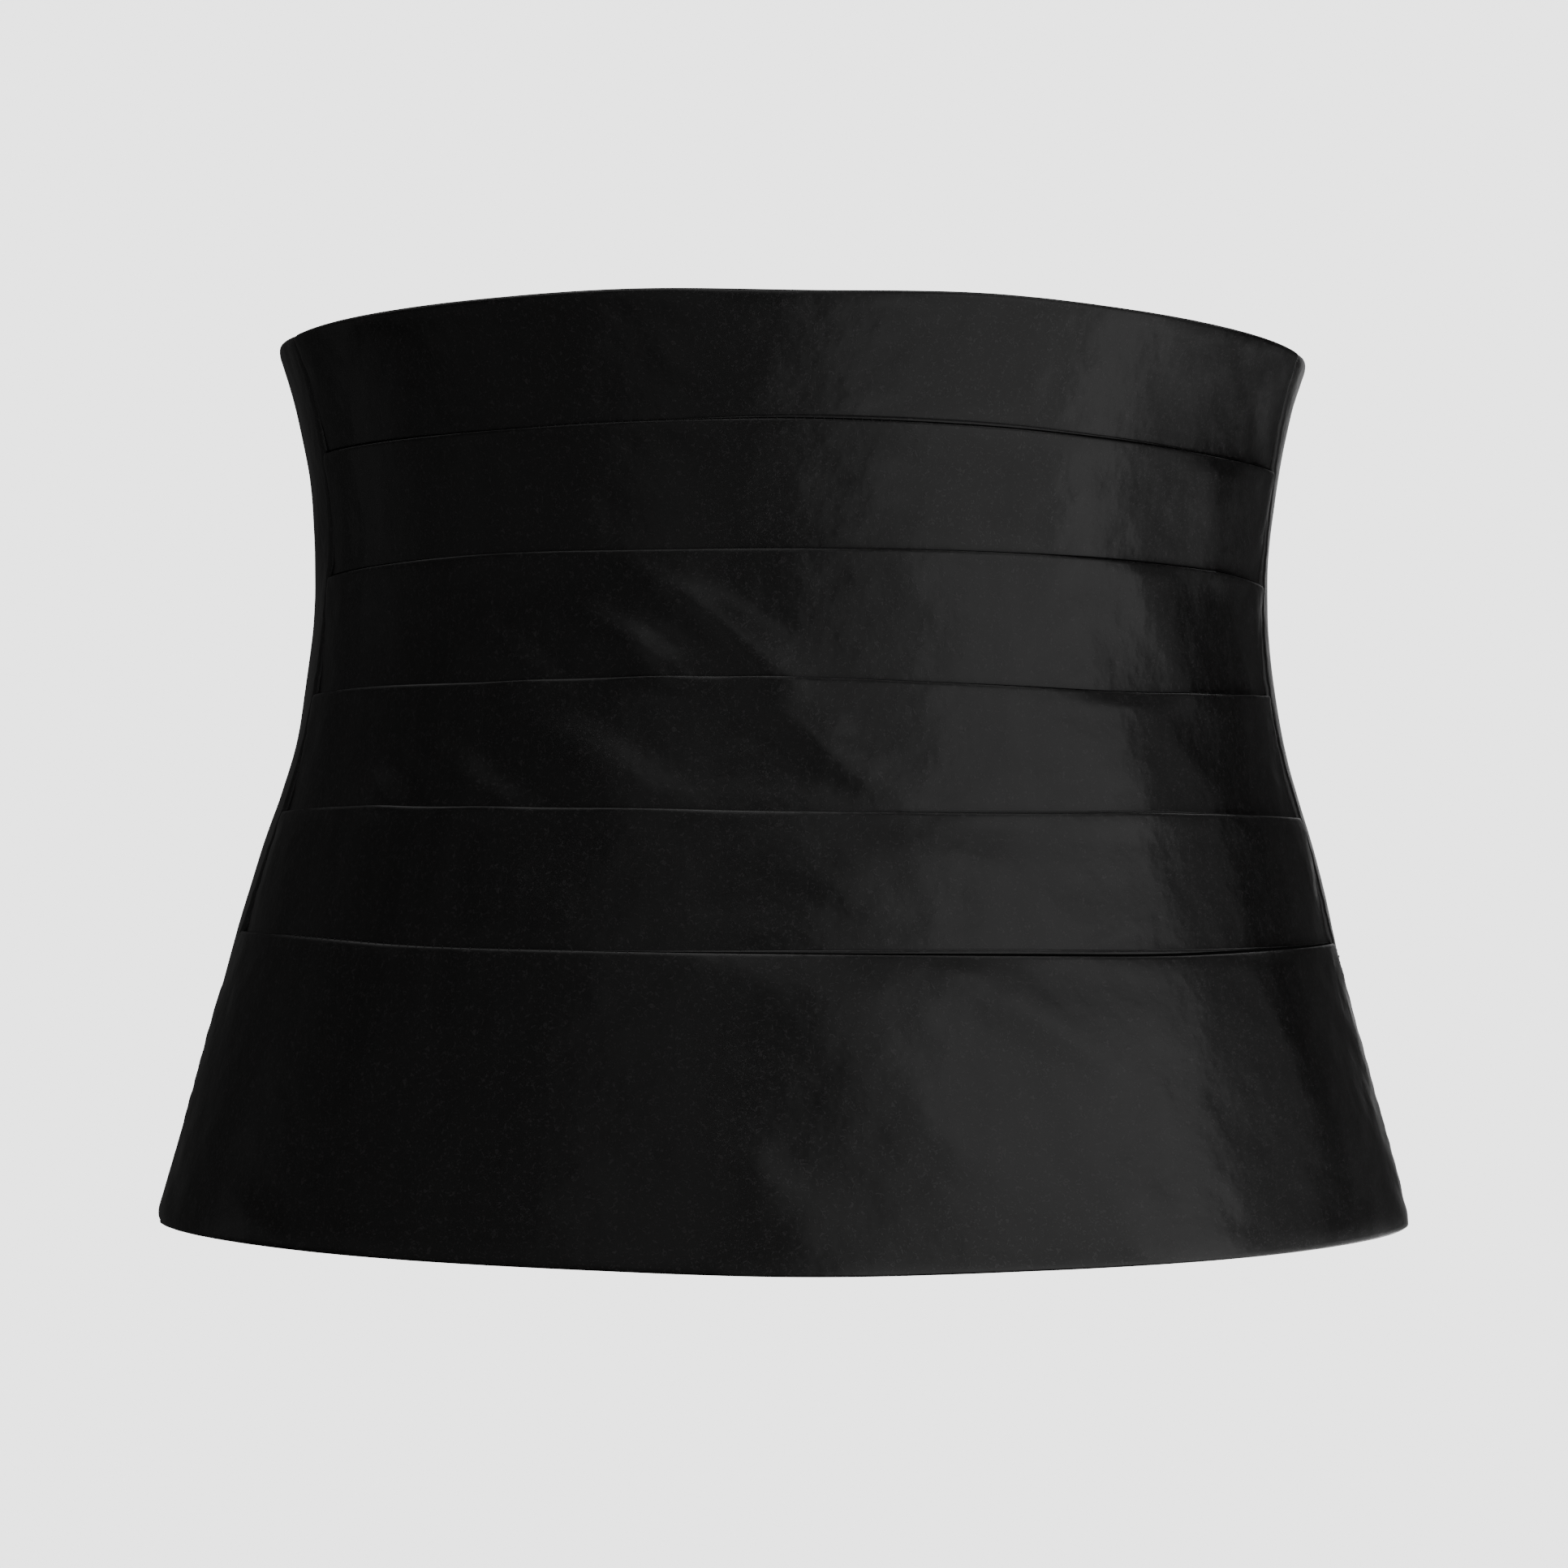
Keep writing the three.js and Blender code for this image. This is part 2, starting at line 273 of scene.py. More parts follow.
def unevenness(seed, across, down, shortest, longest, height):
    """Soft waves of cloth that doesn't lie quite flat: a sum of waves in all directions, in mm."""
    rng = np.random.default_rng(seed)
    waves = 18
    swell = 0
    for length in np.geomspace(shortest, longest, waves):
        heading, phase = rng.uniform(0, 2 * np.pi, 2)
        path = across * np.cos(heading) + down * np.sin(heading)
        swell = swell + length / longest * np.sin(2 * np.pi * path / length + phase)
    return height * swell / np.sqrt(waves / 2)


def drag_swell(tier, around, z, side):
    """How far a tier's drag folds lift it. They run on a little way under the tier below."""
    start = edge_height(tier - 1, side)
    exposed = start - edge_height(tier, side)
    below = start - z
    swell = 0 * below
    for place, drop, length, width, height, fall, arch, flank in DRAG_FOLDS[tier - 1]:
        across = around - np.radians(place) * WAIST_HALF_WIDTH
        down = below - drop * exposed
        cos, sin = np.cos(np.radians(fall)), np.sin(np.radians(fall))
        along = (across * cos + down * sin) / (length / 2)
        beside = (down * cos - across * sin - arch * along**2) / width - FLANK_PLACE * flank
        beside = np.where(beside * flank > 0, beside / DARK_FLANK, beside)
        swell = swell + height * np.exp(-(beside**2) - along**2)
    return swell * ease(below / FOLD_FADE) * (1 - ease((below - exposed) / FOLD_RUN_ON))


def body_swell(around, z):
    """Soft waves that all the layers share, and a little more fullness beside the right seam."""
    fuller = np.exp(-(((around / WAIST_HALF_WIDTH - FULLNESS_TURN) / FULLNESS_REACH) ** 2))
    fuller = fuller * ease((z - FULLNESS_FOOT) / FULLNESS_RISE)
    from_back = np.pi * WAIST_HALF_WIDTH - np.abs(around)
    waves = unevenness(99, around, z, *SHARED_WAVES) * ease(from_back / HELD_BACK)
    return waves + FULLNESS * fuller


def tier_lift(tier, side, z, around):
    """How far out of the body's surface a tier's outer face lies, in mm. A ridge of the tier above
    lifts this one, which lies on it, and a hollow of the tier below presses this one in."""
    start = edge_height(tier - 1, side)
    below = start - z
    exposed = start - edge_height(tier, side)
    from_seam = (1 - np.abs(side)) * HALF_FRONT
    free = ease(below / HELD_ABOVE)
    if tier < TIERS:
        free = free * ease((exposed - below) / HELD_BELOW)
    waves = unevenness(tier, around, z, *LONG_WAVES)
    waves = waves + unevenness(10 + tier, around, z, *SHORT_WAVES)
    out = lean(tier, side, below) + body_swell(around, z)
    out = out + waves * free
    out = out + drag_swell(tier, around, z, side)
    if tier > 1:
        out = out + np.maximum(drag_swell(tier - 1, around, z, side), 0) * (below > -FACING_TOP)
    if tier < TIERS:
        out = out + np.minimum(drag_swell(tier + 1, around, z, side), 0)
    out = out + seam_puckers(z, from_seam) * ease(below / PUCKER_FADE)
    out = out - SHOULDERS[tier - 1] * np.clip(1 - below / SHOULDER_WIDTH, 0, 1) ** 2
    if tier == TIERS:
        out = out - HEM_LEAN * np.clip(1 - (exposed - below) / HEM_WIDTH, 0, 1) ** 2
    return out


def rolled_in(distance, width, depth):
    """The way a sewn edge turns in over its last few mm, as a quarter of an ellipse."""
    share = np.clip(1 - distance / width, 0, 1)
    return depth * (1 - np.sqrt(1 - share * share))


SEAM_OVERLAP = 0.1  # the stitches press the cloths that meet in a side seam into each other by this
SEAM_ROLL_WIDTH = 1.7
SEAM_ROLL_DEPTH = 0.9
PUCKER_HEIGHT = 0.09
PUCKER_SPACING = 5.3
PUCKER_WANDER = 7.1  # the spacing drifts in waves of this length
WIDE_PUCKER_SPACING = 8.9
PUCKER_REACH = 3.5  # how far from a seam they fade


def seam_puckers(z, distance):
    """Small puckers that the seam's stitches draw in the cloth on both sides."""
    close = np.sin(2 * np.pi * z / PUCKER_SPACING + 1.3 * np.sin(z / PUCKER_WANDER))
    wide = 0.6 * np.sin(2 * np.pi * z / WIDE_PUCKER_SPACING + 1)
    return PUCKER_HEIGHT * (close + wide) * np.exp(-distance / PUCKER_REACH)


def tier_ring(shown_rows, hidden_rows):
    """The ring of a tier's section, up its outer face, over the fold and down its inner face. Each
    point has a fixed distance below the fold, a share of the exposed height, shares of the strip of
    painted shade and of the facing that show, and a depth."""
    tall = 1.0  # the fold is rounded off over this height
    deep = 0.36  # half of the outer layer of satin
    back = TIER_CLOTH
    end = UNDERLAP if hidden_rows else 0.0
    raw_end = [(end, 0.45), (end - 0.12, 0.15), (end - 0.45, 0)]
    hidden = list(np.linspace(end - 2, 0, hidden_rows)) if hidden_rows else []
    shares = np.linspace(1, 0, shown_rows + 2)[1:-1]
    outer = [(below, 1, 0, 0, depth) for below, depth in raw_end]
    outer += [(below, 1, 0, 0, 0) for below in hidden]
    outer += [((tall + 0.2) * (1 - share), share, 0, 0, 0) for share in shares]
    for angle in np.radians((90, 77, 64, 52, 40, 29, 19, 9, 0)):
        outer.append((tall * (1 - np.cos(angle)), 0, 0, 0, deep * (1 - np.sin(angle))))
    # Behind the fold, up over the strip of painted shade, up over the facing, and down behind that
    inner = [
        (0.08, 0, 0, 0, 2 * deep - 0.1),
        (0.35, 0, 0, 0, 2 * deep),
        (0, 0, -1, 0, 2 * deep + 0.12),
        (-0.04, 0, -1, 0, 2 * deep + 0.09),
        (-0.02, 0, -1, -0.5, 2 * deep + 0.07),
        (-0.02, 0, -1, -1, 2 * deep + 0.13),
        (-0.12, 0, -1, -1, 2 * deep + 0.3),
        (0, 0, -1, -1, back - 0.02),
    ]
    shares = np.linspace(0, 1, shown_rows + 3)[1:-1]
    inner += [(2 * (1 - share), share, 0, 0, back) for share in shares]
    inner += [(below, 1, 0, 0, back) for below in hidden[::-1]]
    inner += [(below, 1, 0, 0, back - depth) for below, depth in raw_end[::-1]]
    assert len(outer) == len(inner)
    return np.array(outer + inner, float)


def cloth_mesh(name, points, down, around):
    """A closed piece of cloth from a grid of points in mm: columns along it, and in each column the
    ring round its section. The map runs down the cloth on its first axis, round the body on its
    second one."""
    columns, ring = points.shape[:2]
    index = np.arange(columns * ring).reshape(columns, ring)
    onward = np.roll(index, -1, 1)
    sides = np.stack([index[:-1], index[1:], onward[1:], onward[:-1]], -1).reshape(-1, 4)
    k = np.arange(ring // 2 - 1)
    cap = np.stack([k, k + 1, ring - 2 - k, ring - 1 - k], -1)
    faces = np.concatenate([sides, index[0][cap], index[-1][cap][:, ::-1]])
    mesh = bpy.data.meshes.new(name)
    mesh.from_pydata(points.reshape(-1, 3) * MM, [], faces.tolist())
    every = np.ones((columns, ring))
    uv = np.stack([down * every, around * every], -1).reshape(-1, 2)
    corners = np.empty(len(mesh.loops), np.int32)
    mesh.loops.foreach_get("vertex_index", corners)
    layer = mesh.uv_layers.new(name="cloth")
    layer.uv.foreach_set("vector", (uv[corners] * MM).ravel().astype(np.float32))
    mesh.shade_smooth()
    piece = bpy.data.objects.new(name, mesh)
    bpy.context.collection.objects.link(piece)
    return piece


def add_node(tree, kind, inputs=(), **settings):
    """Adds a node to a tree, with its settings, and with each input set to a value or linked."""
    node = tree.nodes.new(kind)
    for name, value in settings.items():
        setattr(node, name, value)
    for name, value in dict(inputs).items():
        if isinstance(value, bpy.types.NodeSocket):
            tree.links.new(value, node.inputs[name])
        else:
            node.inputs[name].default_value = value
    return node


def linear(hex_colour):
    """An sRGB hex colour as linear red, green, blue and opacity."""
    parts = [int(hex_colour[i : i + 2], 16) / 255 for i in (1, 3, 5)]
    return [c / 12.92 if c <= 0.04045 else ((c + 0.055) / 1.055) ** 2.4 for c in parts] + [1]


# Black acetate satin, woven with long floating threads and pressed. The floats lie flat and all run
# round the body, so light is spread widely up and down the cloth and little round it.
SATIN_BLACK = "#0A0909"
SLUB_BLACK = "#0D0C0C"
FLECK_GLINT_PALE = "#272526"  # the weave's flecks, painted paler than the cloth: a painted glint of the floats' ends
SATIN_ROUGHNESS = 0.34
ROUGHNESS_SPREAD = 0.02  # between the slubs and the even cloth
SATIN_ANISOTROPY = 0.8
FLECK_MM = 0.9  # the size of the flecks that the floats' ends make, drawn coarse enough to show
FLECK_DEPTH = 0.012
SLUB_MM = 6.0
SLUB_STRETCH = 0.12  # slubs are drawn out down the cloth by one over this
CLOUD_MM = 5.0  # soft, shallow puckers of the pressed cloth
CLOUD_DEPTH = 0.18


def satin_material(name, roughness):
    """Satin whose gloss runs with the cloth's own map."""
    material = bpy.data.materials.new(name)
    material.use_nodes = True
    tree = material.node_tree
    tree.nodes.clear()
    cloth = add_node(tree, "ShaderNodeUVMap", uv_map="cloth").outputs["UV"]
    fleck = add_node(
        tree,
        "ShaderNodeTexNoise",
        {"Vector": cloth, "Scale": 1 / (FLECK_MM * MM), "Detail": 2, "Distortion": 1.5},
    ).outputs["Fac"]
    raised_glint_fleck = add_node(
        tree,
        "ShaderNodeMapRange",
        {"Value": fleck, "From Min": 0.57, "From Max": 0.68},
        interpolation_type="SMOOTHSTEP",
    ).outputs["Result"]
    stretched = add_node(
        tree,
        "ShaderNodeMapping",
        {"Vector": cloth, "Scale": (SLUB_STRETCH, 1, 1)},
    ).outputs["Vector"]
    streak = add_node(
        tree,
        "ShaderNodeTexNoise",
        {"Vector": stretched, "Scale": 1 / (SLUB_MM * MM), "Detail": 3},
    ).outputs["Fac"]
    colour = add_node(
        tree,
        "ShaderNodeMix",
        {0: streak, 6: linear(SATIN_BLACK), 7: linear(SLUB_BLACK)},
        data_type="RGBA",
    ).outputs[2]
    # Painted glints: the raised flecks of the weave also get a paler base colour, which stands in for
    # their sparkle.
    flecked = add_node(
        tree,
        "ShaderNodeMix",
        {0: raised_glint_fleck, 6: colour, 7: linear(FLECK_GLINT_PALE)},
        data_type="RGBA",
    ).outputs[2]
    rough = add_node(
        tree,
        "ShaderNodeMapRange",
        {
            "Value": streak,
            "From Min": 0.3,
            "From Max": 0.7,
            "To Min": roughness - ROUGHNESS_SPREAD,
            "To Max": roughness + ROUGHNESS_SPREAD,
        },
    ).outputs["Result"]
    cloud = add_node(
        tree,
        "ShaderNodeTexNoise",
        {"Vector": cloth, "Scale": 1 / (CLOUD_MM * MM), "Detail": 2},
    )
    relief = add_node(
        tree,
        "ShaderNodeMath",
        {0: raised_glint_fleck, 1: FLECK_DEPTH / CLOUD_DEPTH, 2: cloud.outputs["Fac"]},
        operation="MULTIPLY_ADD",
    )
    bump = add_node(
        tree,
        "ShaderNodeBump",
        {"Height": relief.outputs["Value"], "Strength": 1.0, "Distance": CLOUD_DEPTH * MM},
    ).outputs["Normal"]
    along = add_node(
        tree,
        "ShaderNodeTangent",
        direction_type="UV_MAP",
        uv_map="cloth",
    ).outputs["Tangent"]
    shader = add_node(
        tree,
        "ShaderNodeBsdfPrincipled",
        {
            "Base Color": flecked,
            "Roughness": rough,
            "IOR": 1.5,
            "Normal": bump,
            "Tangent": along,
            "Anisotropic": SATIN_ANISOTROPY,
            "Sheen Weight": 0.0,
        },
    )
    add_node(tree, "ShaderNodeOutputMaterial", {"Surface": shader.outputs["BSDF"]})
    return material


black_satin = satin_material("black acetate satin", SATIN_ROUGHNESS)

# Painted shade of the gaps between tiers: a black cloth, matt and with a short nap, laid in the groove
# inside each fold, where that gap lies in shadow.
NAP_MM = 0.3
NAP_DEPTH = 0.05
# Painted shade: this matt black material stands in for the shadow in the gap behind each fold.
painted_shade_cloth = bpy.data.materials.new("painted gap shade, matt black")
painted_shade_cloth.use_nodes = True
nap = add_node(
    painted_shade_cloth.node_tree,
    "ShaderNodeTexNoise",
    {
        "Vector": add_node(painted_shade_cloth.node_tree, "ShaderNodeUVMap", uv_map="cloth").outputs["UV"],
        "Scale": 1 / (NAP_MM * MM),
        "Detail": 2,
    },
)
nap_bump = add_node(
    painted_shade_cloth.node_tree,
    "ShaderNodeBump",
    {"Height": nap.outputs["Fac"], "Strength": 0.6, "Distance": NAP_DEPTH * MM},
)
matt = painted_shade_cloth.node_tree.nodes["Principled BSDF"]
matt.inputs["Base Color"].default_value = linear("#050505")
matt.inputs["Roughness"].default_value = 0.95
matt.inputs["Specular IOR Level"].default_value = 0.1
painted_shade_cloth.node_tree.links.new(nap_bump.outputs["Normal"], matt.inputs["Normal"])

# Columns of points, from the left seam (-1) to the right one (1), closer where an edge rolls in, and
# rows down what shows of each tier and down what the next one hides
NEAR_SEAM = np.array((0, 0.12, 0.3, 0.55, 0.85, 1.2, 1.6, 2.1, 2.8))
MIDDLE_FROM = 3.7  # the even columns start this far from a seam
MIDDLE_COLUMNS = 290
ends = NEAR_SEAM / HALF_FRONT
middle = np.linspace(-1 + MIDDLE_FROM / HALF_FRONT, 1 - MIDDLE_FROM / HALF_FRONT, MIDDLE_COLUMNS)
SIDES = np.concatenate([-1 + ends, middle, 1 - ends[::-1]])
SHOWN_ROWS = (24, 24, 24, 25, 26, 54)
HIDDEN_ROWS = (8, 8, 8, 8, 8, 0)
INNER_START = 2.0  # in the map, the inner face goes on from this far above the fold

for tier in range(1, TIERS + 1):
    ring = tier_ring(SHOWN_ROWS[tier - 1], HIDDEN_ROWS[tier - 1])
    fixed, share, painted_shade_share, facing_share, depth = ring.T
    side = SIDES[:, None]
    start = edge_height(tier - 1, side)
    exposed = start - edge_height(tier, side)
    # The rows of the painted-shade strip in each fold's groove take their height from its table.
    below = (
        fixed
        + share * exposed
        + painted_shade_share * smooth_table(STATIONS, PAINTED_SHADE_SHOWS[tier - 1], side)
        + facing_share * smooth_table(STATIONS, FACING_SHOWS[tier - 1], side)
    )
    z = start - below
    seam = seam_turn(side, z)
    turn = side * (seam + turn_for(SEAM_OVERLAP / 2, seam, z))
    around = turn * WAIST_HALF_WIDTH
    from_seam = (1 - np.abs(side)) * HALF_FRONT
    out = tier_lift(tier, side, z, around) - rolled_in(from_seam, SEAM_ROLL_WIDTH, SEAM_ROLL_DEPTH)
    points = body_point(turn, z) + outward(turn, z) * (out - depth)[..., None]
    outer = np.arange(len(ring)) < len(ring) // 2
    down = np.where(outer, below, -INNER_START - below)
    piece = cloth_mesh(f"satin_tier_{tier}", points, down, around)
    piece.data.materials.append(black_satin)
    # The second material, on three rows of faces in each fold's groove, is painted shade of the gap.
    piece.data.materials.append(painted_shade_cloth)
    fold_top = len(ring) // 2 - 1  # the three rows of faces from here on are the strip of painted shade
    slots = np.zeros(len(piece.data.polygons), np.int32)
    strip = slots[: (len(SIDES) - 1) * len(ring)].reshape(len(SIDES) - 1, len(ring))
    strip[:, fold_top : fold_top + 3] = 1
    piece.data.polygons.foreach_set("material_index", slots)
    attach(piece, "root")
    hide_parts(f"pleat_tier_{tier}")

# Back panels. Two plain panels of the same satin on a firm backing, cut smooth, run from the side seams
# to the closing at centre back. Their long edges are turned in, and so are the two edges that meet.
PANEL_CLOTH = 1.6
PANEL_INSET = 0.4
PANEL_LENGTH = 178.0  # the columns' places are measured on a panel of this length
PANEL_EDGE = 0.9  # the turned-in edges are rounded over this width
BACK_OPENING = 3.0
PANEL_ROLL_DEPTH = 1.2  # at the side seams
RIM_ROLL_DEPTH = 1.0  # at the top and bottom rims
RIM_ROLL_WIDTH = 3.2
PANEL_LONG_WAVES = (25, 110, 0.5)
PANEL_SHORT_WAVES = (8, 22, 0.05)
PANEL_HELD = 20.0  # the waves die out over this distance from a seam and from the opening
BACKED_ROUGHNESS = 0.36
INNER_MAP = 400.0  # keeps the weave of an inner face apart from that of the outer one
back_satin = satin_material("black acetate satin on backing", BACKED_ROUGHNESS)
PANEL_COLUMNS = 130
PANEL_MIDDLE_FROM = 4.0
NEAR_RIM = (0, 0.15, 0.45, 0.9, 1.5, 2.2, 3.1)  # rows close to a rim, and even ones to half way down
even_rows = np.linspace(4.2, 110, 44)
half_rows = np.concatenate([NEAR_RIM, even_rows]) / HEIGHT
shares = np.concatenate([half_rows, 1 - half_rows[::-1]])
middle = np.linspace(PANEL_MIDDLE_FROM, PANEL_LENGTH - PANEL_MIDDLE_FROM, PANEL_COLUMNS)
across = np.concatenate([NEAR_SEAM, middle, PANEL_LENGTH - NEAR_SEAM[::-1]])[:, None]
for hand, word in ((-1, "left"), (1, "right")):
    high = float(edge_height(0, hand))
    low = float(edge_height(TIERS, hand))
    rows = high + (low - high) * shares[::-1]
    z = np.concatenate([rows, rows[::-1]])[None, :]
    inner = np.concatenate([np.zeros(len(rows)), np.ones(len(rows))])[None, :]
    seam = seam_turn(hand, z)
    start = seam - turn_for(SEAM_OVERLAP / 2, seam, z)
    stop = np.pi - turn_for(BACK_OPENING / 2, np.pi, z)
    turn = hand * (start + (stop - start) * across / PANEL_LENGTH)
    around = turn * WAIST_HALF_WIDTH
    from_rim = np.minimum(high - z, z - low)
    from_opening = PANEL_LENGTH - across
    out = body_swell(around, z)
    free = ease(across / PANEL_HELD) * ease(from_opening / PANEL_HELD)
    out = out + unevenness(20 + hand, around, z, *PANEL_LONG_WAVES) * free
    out = out + unevenness(30 + hand, around, z, *PANEL_SHORT_WAVES) * free
    out = out + seam_puckers(z, across) * ease(from_rim / PUCKER_FADE)
    out = out - rolled_in(across, SEAM_ROLL_WIDTH, PANEL_ROLL_DEPTH)
    out = out - RIM_ROLL_DEPTH * np.clip(1 - from_rim / RIM_ROLL_WIDTH, 0, 1) ** 2
    round_off = rolled_in(np.minimum(from_rim, from_opening), PANEL_EDGE, PANEL_CLOTH / 2)
    depth = np.where(inner > 0, PANEL_CLOTH - round_off, round_off)
    points = body_point(turn, z) + outward(turn, z) * (out - PANEL_INSET - depth)[..., None]
    if hand < 0:
        points = points[::-1]
        around = around[::-1]
    down = np.where(inner > 0, z - INNER_MAP, -z)
    piece = cloth_mesh(f"satin_panel_{word}", points, down, around)
    piece.data.materials.append(back_satin)
    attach(piece, "root")
    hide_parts(f"back_panel_{word}")

# The fastening. A strip of woven black tape lies behind the gap at centre back and joins the two
# panels. It is polyester grosgrain, nearly matt, with fine ribs across it that fade at its edges.
STRIP_WIDTH = 28.0
STRIP_CLOTH = 1.4
STRIP_EDGE = 0.7  # its edges are rounded over this width
STRIP_GAP = 0.3
STRIP_MARGIN = 0.8
RIB_MM = 1.2  # spacing of the tape's ribs
RIB_HEIGHT = 0.12
RIB_FADE = 1.5
TAPE_BLACK = "#0E0E0E"
TAPE_THREAD_MM = 0.5
TAPE_RELIEF = 0.08
STRIP_ROWS = 380  # enough to follow the ribs
tape_head = float(min(edge_height(0, -1), edge_height(0, 1))) - STRIP_MARGIN
tape_foot = float(max(edge_height(TIERS, -1), edge_height(TIERS, 1))) + STRIP_MARGIN
rows = np.linspace(tape_foot, tape_head, STRIP_ROWS)
z = np.concatenate([rows, rows[::-1]])[None, :]
inner = np.concatenate([np.zeros(len(rows)), np.ones(len(rows))])[None, :]
near_side = STRIP_WIDTH / 2 - np.array((0, 0.15, 0.4, 0.8))
middle = np.linspace(-12.6, 12.6, 24)
across = np.concatenate([-near_side, middle, near_side[::-1]])[:, None]
turn = np.pi + turn_for(1, np.pi, z) * across
from_end = np.minimum(tape_head - z, z - tape_foot)
from_side = STRIP_WIDTH / 2 - np.abs(across)
edge = rolled_in(np.minimum(from_end, from_side), STRIP_EDGE, STRIP_CLOTH / 2)
rib = RIB_HEIGHT * np.sin(2 * np.pi * z / RIB_MM) * ease(from_side / RIB_FADE)
depth = np.where(inner > 0, STRIP_CLOTH - edge + rib, edge - rib)
out = body_swell(turn * WAIST_HALF_WIDTH, z) - PANEL_INSET - PANEL_CLOTH - STRIP_GAP
points = body_point(turn, z) + outward(turn, z) * (out - depth)[..., None]
down = np.where(inner > 0, z - INNER_MAP, -z)
tape = cloth_mesh("woven_fastening_tape", points, down, turn * WAIST_HALF_WIDTH)
tape_weave = bpy.data.materials.new("black polyester grosgrain")
tape_weave.use_nodes = True
weave = tape_weave.node_tree
threads = add_node(
    weave,
    "ShaderNodeTexWave",
    {
        "Vector": add_node(weave, "ShaderNodeUVMap", uv_map="cloth").outputs["UV"],
        "Scale": 1 / (TAPE_THREAD_MM * MM) / (2 * np.pi),
        "Distortion": 1.5,
        "Detail": 2,
    },
    bands_direction="Y",
)
thread_bump = add_node(
    weave,
    "ShaderNodeBump",
    {"Height": threads.outputs["Fac"], "Strength": 0.7, "Distance": TAPE_RELIEF * MM},
)
matt = weave.nodes["Principled BSDF"]
matt.inputs["Base Color"].default_value = linear(TAPE_BLACK)
matt.inputs["Roughness"].default_value = 0.7
weave.links.new(thread_bump.outputs["Normal"], matt.inputs["Normal"])
tape.data.materials.append(tape_weave)
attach(tape, "root")
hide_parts("back_fastening")

# Stitches. Black polyester thread, glossy and lightly twisted. It crosses both side seams as close
# overcasting, pricks the top folds of the second and the sixth tier, and holds the tape in two rows.
TWIST_MM = 0.25
TWIST_RELIEF = 0.04
THREAD_BLACK = "#0C0C0D"
thread = bpy.data.materials.new("black polyester thread")
thread.use_nodes = True
twist = add_node(
    thread.node_tree,
    "ShaderNodeTexNoise",
    {
        "Vector": add_node(thread.node_tree, "ShaderNodeTexCoord").outputs["Object"],
        "Scale": 1 / (TWIST_MM * MM),
        "Detail": 1,
    },
)
twist_bump = add_node(
    thread.node_tree,
    "ShaderNodeBump",
    {"Height": twist.outputs["Fac"], "Strength": 0.5, "Distance": TWIST_RELIEF * MM},
)
gloss = thread.node_tree.nodes["Principled BSDF"]
gloss.inputs["Base Color"].default_value = linear(THREAD_BLACK)
gloss.inputs["Roughness"].default_value = 0.42
thread.node_tree.links.new(twist_bump.outputs["Normal"], gloss.inputs["Normal"])

# One tree sews every row: a bead of thread at each place, drawn out along its heading and standing
# square to the cloth, with a fixed seed for how uneven the stitches are
stitch_tree = bpy.data.node_groups.new("sewn stitches", "GeometryNodeTree")
stitch_tree.is_modifier = True
sockets = stitch_tree.interface
sockets.new_socket("Places", in_out="INPUT", socket_type="NodeSocketGeometry")
sockets.new_socket("Length", in_out="INPUT", socket_type="NodeSocketFloat")
sockets.new_socket("Thickness", in_out="INPUT", socket_type="NodeSocketFloat")
sockets.new_socket("Seed", in_out="INPUT", socket_type="NodeSocketInt")
sockets.new_socket("Thread", in_out="INPUT", socket_type="NodeSocketMaterial")
sockets.new_socket("Stitches", in_out="OUTPUT", socket_type="NodeSocketGeometry")
given = add_node(stitch_tree, "NodeGroupInput").outputs
bead = add_node(stitch_tree, "GeometryNodeMeshUVSphere", {"Segments": 8, "Rings": 6, "Radius": 0.5})
smooth = add_node(stitch_tree, "GeometryNodeSetShadeSmooth", {"Geometry": bead.outputs["Mesh"]})
heading = add_node(
    stitch_tree,
    "GeometryNodeInputNamedAttribute",
    {"Name": "heading"},
    data_type="FLOAT_VECTOR",
)
facing = add_node(
    stitch_tree,
    "GeometryNodeInputNamedAttribute",
    {"Name": "facing"},
    data_type="FLOAT_VECTOR",
)
lengthwise = add_node(
    stitch_tree,
    "FunctionNodeAlignRotationToVector",
    {"Vector": next(output for output in heading.outputs if output.enabled)},
    axis="X",
)
upright = add_node(
    stitch_tree,
    "FunctionNodeAlignRotationToVector",
    {
        "Rotation": lengthwise.outputs["Rotation"],
        "Vector": next(output for output in facing.outputs if output.enabled),
    },
    axis="Z",
    pivot_axis="X",
)
uneven = add_node(
    stitch_tree,
    "FunctionNodeRandomValue",
    {"Min": (0.8, 0.85, 0.85), "Max": (1.2, 1.15, 1.15), "Seed": given["Seed"]},
    data_type="FLOAT_VECTOR",
)
size = add_node(
    stitch_tree,
    "ShaderNodeCombineXYZ",
    {"X": given["Length"], "Y": given["Thickness"], "Z": given["Thickness"]},
)
scale = add_node(
    stitch_tree,
    "ShaderNodeVectorMath",
    {0: size.outputs["Vector"], 1: uneven.outputs["Value"]},
    operation="MULTIPLY",
)
places = add_node(stitch_tree, "GeometryNodeMeshToPoints", {"Mesh": given["Places"]})
copies = add_node(
    stitch_tree,
    "GeometryNodeInstanceOnPoints",
    {
        "Points": places.outputs["Points"],
        "Instance": smooth.outputs["Geometry"],
        "Rotation": upright.outputs["Rotation"],
        "Scale": scale.outputs["Vector"],
    },
)
real = add_node(
    stitch_tree,
    "GeometryNodeRealizeInstances",
    {"Geometry": copies.outputs["Instances"]},
)
dyed = add_node(
    stitch_tree,
    "GeometryNodeSetMaterial",
    {"Geometry": real.outputs["Geometry"], "Material": given["Thread"]},
)
add_node(stitch_tree, "NodeGroupOutput", {"Stitches": dyed.outputs["Geometry"]})


